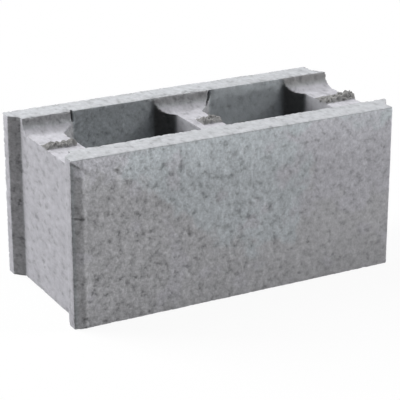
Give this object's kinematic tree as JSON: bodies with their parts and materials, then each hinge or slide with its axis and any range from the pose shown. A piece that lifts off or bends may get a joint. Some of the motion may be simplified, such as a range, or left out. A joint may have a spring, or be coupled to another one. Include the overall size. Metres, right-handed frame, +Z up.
{
  "type": "hollow concrete shuttering block",
  "caption": "Hollow concrete block with open vertical cores between face shells, lowered webs, and a groove and tongue at its ends, stacked dry and filled with concrete.",
  "frame": {"origin": "middle of the underside of the block's box, on the bed face", "axes": "+X along the block from the grooved end to the tongued end, +Y across it, +Z up as laid"},
  "size_m": [0.513, 0.24, 0.24],
  "materials": {
    "concrete": "matte"
  },
  "bodies": {
    "root": {"block": "concrete"}
  },
  "joints": []
}
